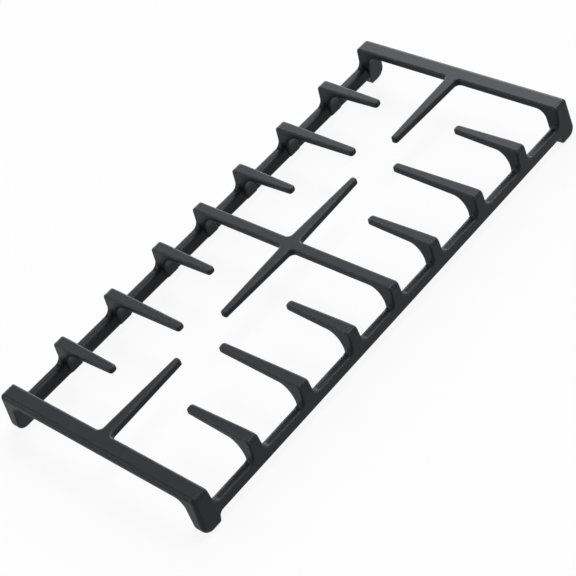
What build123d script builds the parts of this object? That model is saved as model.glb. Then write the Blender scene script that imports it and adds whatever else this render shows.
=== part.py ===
"""Cast-iron pan support for a gas hob, with two burners one behind the other.

One casting: two low side rails on four flared legs, an end bar over each pair of legs, and
fingers that reach in over the burners from posts on the rails.
X runs across the support, Y along it and Z up. The feet stand on Z = 0, centred on the origin.
The casting is the same on both sides of X = 0 and of Y = 0, so one quarter is modelled and mirrored.
"""

import os
from math import radians, tan

from build123d import *

# Overall sizes in millimetres, and draft angles in degrees from the vertical
top_length = 483.2
top_width = 221.7
height = 39.7
side_draft = 1.7
end_draft = 4.6
bar_inner_draft = 3.4
finger_draft = 3.5

# End bars and legs
end_bar_width = 15.4
bar_depth = 6.4
leg_top_width = 14.3
arch_radius = 9.4
foot_heel_radius = 8.9
foot_toe_run = 2.8

# Side rails
rail_top = 19.8
rail_bottom = 9.8
rail_crown = 8.5
rail_base = 11.0
rail_crown_radius = 4.5
foot_step_radius = 4.5

# Fingers on posts
burner_y = 113.45
finger_pitch = 60.24
short_tip_x = 42.5
long_tip_x = 22.4
finger_root_width = 10.7
finger_tip_width = 7.1
finger_root_depth = 6.7
finger_tip_depth = 5.9
finger_tip_radius = 2.8
haunch_reach = 13.0
haunch_base = 17.5
post_proud = 0.8
post_foot_radius = 6.3

# Centre bar, and the fingers in line with the burners
centre_bar_width = 10.4
centre_bar_depth = 6.5
inline_root_width = 11.4
inline_tip_width = 5.6
inline_tip_radius = 2.2
inline_tip_gap = 26.7
inline_junction_radius = 4.5

# Rounding of the cast edges: along the outer faces, round the other tops, under fingers and below frames
outer_edge_radius = 3.7
edge_radius = 1.7
haunch_edge_radius = 2.0
lower_edge_radius = 1.2

# Edges within this distance of a face count as lying on it
tolerance = 0.01

# Sizes that follow from the driving ones
half_length = top_length / 2
half_width = top_width / 2
bar_inner_y = half_length - end_bar_width
finger_rows = (
    (burner_y - finger_pitch, short_tip_x),
    (burner_y, long_tip_x),
    (burner_y + finger_pitch, short_tip_x),
)


def drafted(z, angle):
    """How far a drafted face has moved out at height z from where it starts at the top."""
    return (height - z) * tan(radians(angle))


def side_x(z):
    """Outer face of the sides at height z."""
    return half_width + drafted(z, side_draft)


def end_y(z):
    """Outer face of the ends at height z."""
    return half_length + drafted(z, end_draft)


def leg_inner_y(z):
    """Face of a leg and end bar towards the middle, at height z."""
    return bar_inner_y - drafted(z, bar_inner_draft)


toe_y = leg_inner_y(rail_bottom) + foot_toe_run
rail_inner_x = side_x(rail_bottom) - rail_base
crown_inner_x = side_x(rail_top) - rail_crown
post_inner_x = rail_inner_x - post_proud


def rail_slope_x(z):
    """Sloped inner face of the rail at height z, carried on above the rail."""
    lean = (crown_inner_x - rail_inner_x) / (rail_top - rail_bottom)
    return rail_inner_x + lean * (z - rail_bottom)


def leg_inner_x(z):
    """Face of a leg under the end bar at height z, in line with the rail's lower inner edge."""
    bar_bottom = height - bar_depth
    leg_top_x = side_x(bar_bottom) - leg_top_width
    lean = (rail_inner_x - leg_top_x) / (bar_bottom - rail_bottom)
    return rail_inner_x + lean * (rail_bottom - z)


def section(plane, points, rounded=()):
    """A face through the points of a plane, with the listed corners rounded."""
    face = plane * make_face(Polyline(*points, close=True))
    for corner, radius in rounded:
        place = plane.from_local_coords((*corner, 0))
        face = fillet(face.vertices().sort_by_distance(place)[0], radius)
    return face


def trim_flank(body, point, inward):
    """Cut a body along the plane through a point, and keep the side that inward points to."""
    return split(body, bisect_by=Plane(point, z_dir=inward), keep=Keep.TOP)


def arm(row_y, tip_x, root_width, tip_width, root_depth, tip_depth):
    """An arm from a post on the rail, narrowing to tip_x, with a hollow haunch under its root."""
    haunch_start = (post_inner_x - haunch_reach, height - root_depth)
    haunch = EllipticalCenterArc(
        (haunch_start[0], haunch_base),
        haunch_reach,
        haunch_start[1] - haunch_base,
        start_angle=0,
        arc_size=90,
    )
    ends = Polyline(
        haunch_start,
        (tip_x, height - tip_depth),
        (tip_x, height),
        (half_width, height),
        (side_x(rail_bottom), rail_bottom),
        (post_inner_x, rail_bottom),
        (post_inner_x, haunch_base),
    )
    profile = Plane.XZ * make_face(Curve() + [haunch, ends])
    reach = root_width + height
    body = Pos(0, row_y + reach, 0) * extrude(profile, 2 * reach)
    draft = tan(radians(finger_draft))
    taper = (root_width - tip_width) / 2 / (post_inner_x - tip_x)
    for side in (-1, 1):
        tip_edge = (tip_x, row_y + side * tip_width / 2, height)
        root_edge = (half_width, row_y + side * root_width / 2, height)
        body = trim_flank(body, tip_edge, (taper, -side, -draft))
        body = trim_flank(body, root_edge, (0, -side, -draft))
    return body


def along(edge, test):
    """Whether a test holds at both ends and in the middle of an edge."""
    return all(test(edge @ part) for part in (0, 0.5, 1))


def outer_edges(body):
    """The edges of a quarter that do not lie in the planes it is mirrored about."""
    return [
        edge
        for edge in body.edges()
        if not along(edge, lambda point: point.X < tolerance)
        and not along(edge, lambda point: point.Y < tolerance)
    ]


def upright_edge(body, place):
    """The edge of a body nearest to a place that runs more up than along."""
    upright = []
    for edge in body.edges():
        run = edge.position_at(1) - edge.position_at(0)
        if abs(run.Z) > abs(run.X) + abs(run.Y):
            upright.append(edge)
    return min(upright, key=lambda edge: edge.distance_to(Vertex(*place)))


def round_underside(body, depth):
    """Round the edges of a finger along its underside, its haunch and the inner face of its post."""
    under = []
    for face in body.faces():
        outward = face.normal_at()
        facing = abs(outward.Y) < tolerance and outward.X < abs(outward.Z)
        if facing and rail_bottom + tolerance < face.center().Z < height - depth + tolerance:
            under.append(face)
    rim = [
        edge
        for edge in outer_edges(body)
        if sum(edge.is_same(other) for face in under for other in face.edges()) == 1
        and not along(edge, lambda point: point.Z < rail_bottom + tolerance)
    ]
    return fillet(rim, haunch_edge_radius)


def side_finger(row_y, tip_x):
    """A side finger on its post, with a round tip."""
    body = arm(row_y, tip_x, finger_root_width, finger_tip_width, finger_root_depth, finger_tip_depth)
    tip_half = finger_tip_width / 2
    corners = [upright_edge(body, (tip_x, row_y + side * tip_half, height)) for side in (-1, 1)]
    return round_underside(fillet(corners, finger_tip_radius), finger_tip_depth)


def half_post(row_y, z):
    """Half the width at height z of the centre bar's post, or of a side finger's."""
    width = centre_bar_width if row_y == 0 else finger_root_width
    return width / 2 + drafted(z, finger_draft)


def side_plate():
    """Half a side rail, with the hollow blends into its posts, its leg and its foot."""
    blend_top = rail_top + post_foot_radius + rail_crown_radius
    leg_middle_y = half_length - end_bar_width / 2
    outline = section(
        Plane.YZ,
        [(0, rail_bottom), (leg_middle_y, rail_bottom), (leg_middle_y, rail_top), (0, rail_top)],
    )
    outline += section(
        Plane.YZ,
        [
            (toe_y, 0),
            (leg_middle_y, 0),
            (leg_middle_y, blend_top),
            (leg_inner_y(blend_top), blend_top),
            (leg_inner_y(rail_bottom), rail_bottom),
        ],
    )
    hollows = [
        (leg_inner_y(rail_top), rail_top, post_foot_radius),
        (leg_inner_y(rail_bottom), rail_bottom, foot_step_radius),
    ]
    for row_y in (0, *(row_y for row_y, _ in finger_rows)):
        low, high = half_post(row_y, rail_bottom), half_post(row_y, blend_top)
        outline += section(
            Plane.YZ,
            [
                (max(row_y - low, 0), rail_bottom),
                (row_y + low, rail_bottom),
                (row_y + high, blend_top),
                (max(row_y - high, 0), blend_top),
            ],
        )
        foot = half_post(row_y, rail_top)
        hollows += [(y, rail_top, post_foot_radius) for y in (row_y - foot, row_y + foot) if y > 0]
    for y, z, radius in hollows:
        outline = fillet(outline.vertices().sort_by_distance((0, y, z))[0], radius)
    lean = section(
        Plane.XZ,
        [
            (leg_inner_x(0), 0),
            (side_x(0), 0),
            (side_x(blend_top), blend_top),
            (rail_slope_x(blend_top), blend_top),
            (rail_inner_x, rail_bottom),
        ],
    )
    plate = extrude(outline, side_x(0), dir=(1, 0, 0)) & extrude(lean, top_length, both=True)
    crown = [
        edge
        for edge in plate.edges()
        if along(edge, lambda point: abs(point.X - crown_inner_x) + abs(point.Z - rail_top) < tolerance)
    ]
    plate = fillet(crown, rail_crown_radius)
    return split(plate, bisect_by=Plane((0, 0, rail_top + post_foot_radius)), keep=Keep.BOTTOM)


def inline_finger(root_y, tip_y, depth):
    """Half a finger along Y on the middle line, narrowing from root_y to tip_y."""
    bottom = height - depth
    blade = section(Plane.YZ, [(root_y, bottom), (tip_y, bottom), (tip_y, height), (root_y, height)])
    body = extrude(blade, inline_root_width, dir=(1, 0, 0))
    taper = (inline_root_width - inline_tip_width) / 2 / (tip_y - root_y)
    draft = tan(radians(finger_draft))
    body = trim_flank(body, (inline_tip_width / 2, tip_y, height), (-1, -taper, -draft))
    return fillet(upright_edge(body, (inline_tip_width / 2, tip_y, height)), inline_tip_radius)


def centre_cross():
    """A quarter of the centre bar, with the finger that crosses it."""
    bar = arm(0, 0, centre_bar_width, centre_bar_width, centre_bar_depth, centre_bar_depth)
    bar = split(bar, bisect_by=Plane.XZ, keep=Keep.BOTTOM)
    cross = bar + inline_finger(0, burner_y - inline_tip_gap, centre_bar_depth)
    junction = (inline_root_width / 2, centre_bar_width / 2, height - centre_bar_depth / 2)
    return round_underside(fillet(upright_edge(cross, junction), inline_junction_radius), centre_bar_depth)


def end_frame():
    """Half an end bar, its leg and foot, and the finger in its middle."""
    bar_bottom = height - bar_depth
    leg_top_x = leg_inner_x(bar_bottom)
    arch = section(
        Plane.XZ,
        [
            (0, height),
            (half_width, height),
            (side_x(0), 0),
            (leg_inner_x(0), 0),
            (leg_top_x, bar_bottom),
            (0, bar_bottom),
        ],
        rounded=[((leg_top_x, bar_bottom), arch_radius)],
    )
    stance = section(
        Plane.YZ,
        [
            (bar_inner_y, height),
            (half_length, height),
            (end_y(0), 0),
            (toe_y, 0),
            (leg_inner_y(rail_bottom), rail_bottom),
        ],
        rounded=[((end_y(0), 0), foot_heel_radius)],
    )
    frame = extrude(arch, top_length, both=True) & extrude(stance, side_x(0), dir=(1, 0, 0))
    frame += inline_finger(half_length - end_bar_width / 2, burner_y + inline_tip_gap, bar_depth)
    junction = (inline_root_width / 2, bar_inner_y, height - bar_depth / 2)
    return fillet(upright_edge(frame, junction), inline_junction_radius)


def lower_frame_edges(body):
    """The edges round the underside of an end bar and its finger, its arch, its leg and its foot."""

    def inside_arch(point):
        beside_leg = point.X < leg_inner_x(point.Z) + tolerance
        return beside_leg and point.Z < height - bar_depth + tolerance and point.Y > burner_y

    def under_foot(point):
        return point.Z < tolerance and point.Y < toe_y + tolerance

    def under_rail(point):
        return abs(point.Z - rail_bottom) < tolerance

    def straight_across(edge):
        run = edge.position_at(1) - edge.position_at(0)
        return abs(run.X) + abs(run.Z) < tolerance

    return [
        edge
        for edge in outer_edges(body)
        if along(edge, under_foot)
        or along(edge, inside_arch)
        and not along(edge, under_rail)
        and not straight_across(edge)
    ]


def brow_edges(body):
    """The edges between the top faces and the outer faces, and the outer corner of the leg."""

    def on_brow(point):
        outside = point.X > half_width - tolerance or point.Y > half_length - tolerance
        return point.Z > height - tolerance and outside

    corner = upright_edge(body, (side_x(rail_top), end_y(rail_top), rail_top))
    return [edge for edge in outer_edges(body) if along(edge, on_brow)] + [corner]


def upper_edges(body):
    """The other edges round the top faces, down the outer faces of the posts and along the rail."""

    def on_top(point):
        return point.Z > height - tolerance

    def on_side(point):
        above_rail = point.Z > rail_top - tolerance and point.Y < bar_inner_y + tolerance
        return above_rail and abs(point.X - side_x(point.Z)) < tolerance

    def on_brow(point):
        past_face = max(point.X - half_width, point.Y - half_length) + outer_edge_radius > -tolerance
        return past_face and point.Z > height - outer_edge_radius - tolerance

    return [
        edge
        for edge in outer_edges(body)
        if (along(edge, on_top) or along(edge, on_side)) and not along(edge, on_brow)
    ]


def quarter():
    """The quarter of the casting where X and Y are positive."""
    body = side_plate() + centre_cross() + end_frame()
    for row_y, tip_x in finger_rows:
        body += side_finger(row_y, tip_x)
    body = fillet(brow_edges(body), outer_edge_radius)
    body = fillet(lower_frame_edges(body), lower_edge_radius)
    return fillet(upper_edges(body), edge_radius)


def main():
    os.makedirs("parts", exist_ok=True)
    half = quarter()
    half += mirror(half, Plane.YZ)
    casting = half + mirror(half, Plane.XZ)
    export_step(casting.solid(), "parts/pan_support.step")


main()
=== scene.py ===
"""Studio picture of a cast-iron pan support.

Satin black enamel on a plain pale floor, in soft light, with the camera at the photo's angle.
"""

import math

import bpy
from mathutils import Matrix, Vector

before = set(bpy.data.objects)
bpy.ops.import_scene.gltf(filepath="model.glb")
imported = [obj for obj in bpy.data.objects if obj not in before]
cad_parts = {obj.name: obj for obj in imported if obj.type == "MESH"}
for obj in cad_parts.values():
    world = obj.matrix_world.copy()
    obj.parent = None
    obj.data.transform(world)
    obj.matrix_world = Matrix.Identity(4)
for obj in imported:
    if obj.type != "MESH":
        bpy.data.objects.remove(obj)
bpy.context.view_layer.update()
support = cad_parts["pan_support"]

# Camera: degrees and metres, with the aim on the plane of the pan rests
CAMERA_AZIMUTH = 54.677
CAMERA_ELEVATION = 42.57
CAMERA_ROLL = -20.522
CAMERA_DISTANCE = 1.3546
CAMERA_AIM = Vector((0.0328, -0.04094, 0.0397))
LENS_MM = 106.04
SENSOR_MM = 36.0

# Floor, in metres: matt, and its own glow keeps the shadows faint
FLOOR_SIZE = 40.0
FLOOR_GREY = 0.06
FLOOR_GLOW = 0.885
FLOOR_ROUGHNESS = 1.0
FLOOR_GLOSS = 0.0

# Soft lights: name, azimuth from +X towards +Y, elevation and half width in degrees, brightness
SOFT_LIGHTS = (
    ("back", 120, 25, 12, 20),
    ("high", 78, 55, 12, 22),
    ("back_left", 152, 12, 12, 13),
    ("left", 210, 35, 12, 9),
    ("front_left", 240, 5, 12, 7),
    ("right", 30, 18, 16, 4),
    ("overhead", 0, 90, 25, 1),
)
# Pale walls: their brightness, and the heights of a direction between which they fade out
WALL_GLOW = 0.93
WALL_LOW = 0.03
WALL_HIGH = 0.15
WHITE = (1, 1, 1, 1)

# Enamel: the two greys of its mottling, the paler grey of a painted highlight on its upward
# edges, its gloss with the tint of its highlights, and the range of its roughness
ENAMEL_DARK = (0.0045, 0.0048, 0.0054, 1)
ENAMEL_PALE = (0.0095, 0.0100, 0.0111, 1)
ENAMEL_PAINTED_HIGHLIGHT = (0.068, 0.071, 0.076, 1)
ENAMEL_GLOSS = 0.14
ENAMEL_TINT = (0.89, 0.935, 1.0, 1)
ROUGHNESS_SMOOTH = 0.37
ROUGHNESS_DULL = 0.47
# Size of the mottling's spots in metres
MOTTLE_M = 0.012
# Painted highlight on the edges that face up: how far in metres an edge is felt, the shares of
# metal round a point that mean no edge and a full edge, and the Z of a normal that counts as
# facing up
EDGE_SAMPLES = 8
EDGE_M = 0.002
EDGE_NONE = 0.95
EDGE_FULL = 0.6
UPWARD_FULL = 0.5
# Bump of the surface, coarse to fine: size of the bumps and their height in metres
WAVES = (0.009, 0.000012)
ORANGE_PEEL = (0.0014, 0.000004)
GRAIN = (0.0003, 0.0000008)
# Octaves of the noise in each use
MOTTLE_DETAIL = 4
ROUGHNESS_DETAIL = 3
BUMP_DETAIL = 2


def add_camera():
    """A long lens, looking down on the support's front right corner."""
    azimuth = math.radians(CAMERA_AZIMUTH)
    elevation = math.radians(CAMERA_ELEVATION)
    back = Vector(
        (
            math.sin(azimuth) * math.cos(elevation),
            -math.cos(azimuth) * math.cos(elevation),
            math.sin(elevation),
        )
    )
    data = bpy.data.cameras.new("camera")
    data.lens = LENS_MM
    data.sensor_width = SENSOR_MM
    camera = bpy.data.objects.new("camera", data)
    bpy.context.scene.collection.objects.link(camera)
    place = Matrix.Translation(CAMERA_AIM + back * CAMERA_DISTANCE)
    turn = (-back).to_track_quat("-Z", "Y").to_matrix().to_4x4()
    roll = Matrix.Rotation(math.radians(CAMERA_ROLL), 4, "Z")
    camera.matrix_world = place @ turn @ roll
    bpy.context.scene.camera = camera


def add_math(tree, operation, value, other=None):
    """A step of arithmetic on a value, with a number or another value."""
    node = tree.nodes.new("ShaderNodeMath")
    node.operation = operation
    tree.links.new(value, node.inputs[0])
    if isinstance(other, bpy.types.NodeSocket):
        tree.links.new(other, node.inputs[1])
    elif other is not None:
        node.inputs[1].default_value = other
    return node.outputs["Value"]


def add_range(tree, value, low, high, at_low=0, at_high=1):
    """A value between low and high, carried over to the range from at_low to at_high."""
    node = tree.nodes.new("ShaderNodeMapRange")
    node.inputs["From Min"].default_value = low
    node.inputs["From Max"].default_value = high
    node.inputs["To Min"].default_value = at_low
    node.inputs["To Max"].default_value = at_high
    tree.links.new(value, node.inputs["Value"])
    return node.outputs["Result"]


def add_upward(tree, vector):
    """The Z of a vector."""
    parts = tree.nodes.new("ShaderNodeSeparateXYZ")
    tree.links.new(vector, parts.inputs["Vector"])
    return parts.outputs["Z"]


def add_mix(tree, share):
    """A node that mixes the colours A and B."""
    mix = tree.nodes.new("ShaderNodeMix")
    mix.data_type = "RGBA"
    tree.links.new(share, mix.inputs["Factor"])
    return mix


def add_noise(tree, place, size, detail):
    """A noise texture in the object's own coordinates, with spots about size metres across."""
    noise = tree.nodes.new("ShaderNodeTexNoise")
    noise.inputs["Scale"].default_value = 1 / size
    noise.inputs["Detail"].default_value = detail
    tree.links.new(place, noise.inputs["Vector"])
    return noise.outputs["Fac"]


def add_bump(tree, place, size, height, below=None):
    """A bump of a size and height in metres, on top of the normal below it."""
    bump = tree.nodes.new("ShaderNodeBump")
    bump.inputs["Distance"].default_value = height
    tree.links.new(add_noise(tree, place, size, BUMP_DETAIL), bump.inputs["Height"])
    if below:
        tree.links.new(below, bump.inputs["Normal"])
    return bump.outputs["Normal"]


def add_painted_highlight_edges(tree):
    """Where the highlight is painted: 1 on sharp edges that face up, 0 away from them."""
    metal = tree.nodes.new("ShaderNodeAmbientOcclusion")
    metal.inside = True
    metal.only_local = True
    metal.samples = EDGE_SAMPLES
    metal.inputs["Distance"].default_value = EDGE_M
    edge = add_range(tree, metal.outputs["AO"], EDGE_NONE, EDGE_FULL)
    normal = tree.nodes.new("ShaderNodeNewGeometry").outputs["Normal"]
    upward = add_range(tree, add_upward(tree, normal), 0, UPWARD_FULL)
    return add_math(tree, "MULTIPLY", edge, upward)


def enamel():
    """Satin black enamel: faintly mottled, with a painted highlight on its upper edges, wavy with
    an orange peel.
    """
    material = bpy.data.materials.new("enamel")
    material.use_nodes = True
    tree = material.node_tree
    shader = tree.nodes["Principled BSDF"]
    shader.inputs["Specular IOR Level"].default_value = ENAMEL_GLOSS
    shader.inputs["Specular Tint"].default_value = ENAMEL_TINT
    place = tree.nodes.new("ShaderNodeTexCoord").outputs["Object"]

    mottled = add_mix(tree, add_noise(tree, place, MOTTLE_M, MOTTLE_DETAIL))
    mottled.inputs["A"].default_value = ENAMEL_DARK
    mottled.inputs["B"].default_value = ENAMEL_PALE
    # Paler grey on the upward-facing edges: a painted highlight
    colour = add_mix(tree, add_painted_highlight_edges(tree))
    tree.links.new(mottled.outputs["Result"], colour.inputs["A"])
    colour.inputs["B"].default_value = ENAMEL_PAINTED_HIGHLIGHT
    tree.links.new(colour.outputs["Result"], shader.inputs["Base Color"])

    spots = add_noise(tree, place, ORANGE_PEEL[0], ROUGHNESS_DETAIL)
    roughness = add_range(tree, spots, 0, 1, ROUGHNESS_SMOOTH, ROUGHNESS_DULL)
    tree.links.new(roughness, shader.inputs["Roughness"])

    normal = None
    for size, height in (WAVES, ORANGE_PEEL, GRAIN):
        normal = add_bump(tree, place, size, height, normal)
    tree.links.new(normal, shader.inputs["Normal"])
    return material


def smooth(obj):
    """Shade the roundings smoothly and keep the flats flat."""
    mesh = obj.data
    mesh.polygons.foreach_set("use_smooth", [True] * len(mesh.polygons))
    weighted = obj.modifiers.new("flat_faces", "WEIGHTED_NORMAL")
    weighted.mode = "FACE_AREA_WITH_ANGLE"


def add_floor():
    """A plain pale floor."""
    bpy.ops.mesh.primitive_plane_add(size=FLOOR_SIZE)
    floor = bpy.context.object
    floor.name = "floor"
    material = bpy.data.materials.new("floor")
    material.use_nodes = True
    shader = material.node_tree.nodes["Principled BSDF"]
    shader.inputs["Base Color"].default_value = (FLOOR_GREY, FLOOR_GREY, FLOOR_GREY, 1)
    shader.inputs["Roughness"].default_value = FLOOR_ROUGHNESS
    shader.inputs["Specular IOR Level"].default_value = FLOOR_GLOSS
    shader.inputs["Emission Color"].default_value = WHITE
    shader.inputs["Emission Strength"].default_value = FLOOR_GLOW
    floor.data.materials.append(material)


def add_soft_light(tree, direction, name, azimuth, elevation, width, brightness):
    """A round patch of light in the surroundings that fades out from its middle."""
    azimuth, elevation, width = (math.radians(angle) for angle in (azimuth, elevation, width))
    middle = tree.nodes.new("ShaderNodeVectorMath")
    middle.name = name
    middle.operation = "DOT_PRODUCT"
    tree.links.new(direction, middle.inputs[0])
    middle.inputs[1].default_value = (
        math.cos(elevation) * math.cos(azimuth),
        math.cos(elevation) * math.sin(azimuth),
        math.sin(elevation),
    )
    away = add_math(tree, "SUBTRACT", middle.outputs["Value"], 1)
    fade = add_math(tree, "DIVIDE", away, 1 - math.cos(width))
    patch = add_math(tree, "EXPONENT", fade)
    return add_math(tree, "MULTIPLY", patch, brightness)


def add_world():
    """Pale walls round the floor, and a few soft lights in the dark above them."""
    world = bpy.data.worlds.new("studio")
    world.use_nodes = True
    tree = world.node_tree
    background = tree.nodes["Background"]
    direction = tree.nodes.new("ShaderNodeTexCoord").outputs["Generated"]
    total = add_range(tree, add_upward(tree, direction), WALL_LOW, WALL_HIGH, WALL_GLOW, 0)
    for light in SOFT_LIGHTS:
        total = add_math(tree, "ADD", total, add_soft_light(tree, direction, *light))
    tree.links.new(total, background.inputs["Strength"])
    background.inputs["Color"].default_value = WHITE
    bpy.context.scene.world = world


support.data.materials.clear()
support.data.materials.append(enamel())
smooth(support)
add_floor()
add_camera()
add_world()
bpy.context.scene.view_settings.view_transform = "Standard"
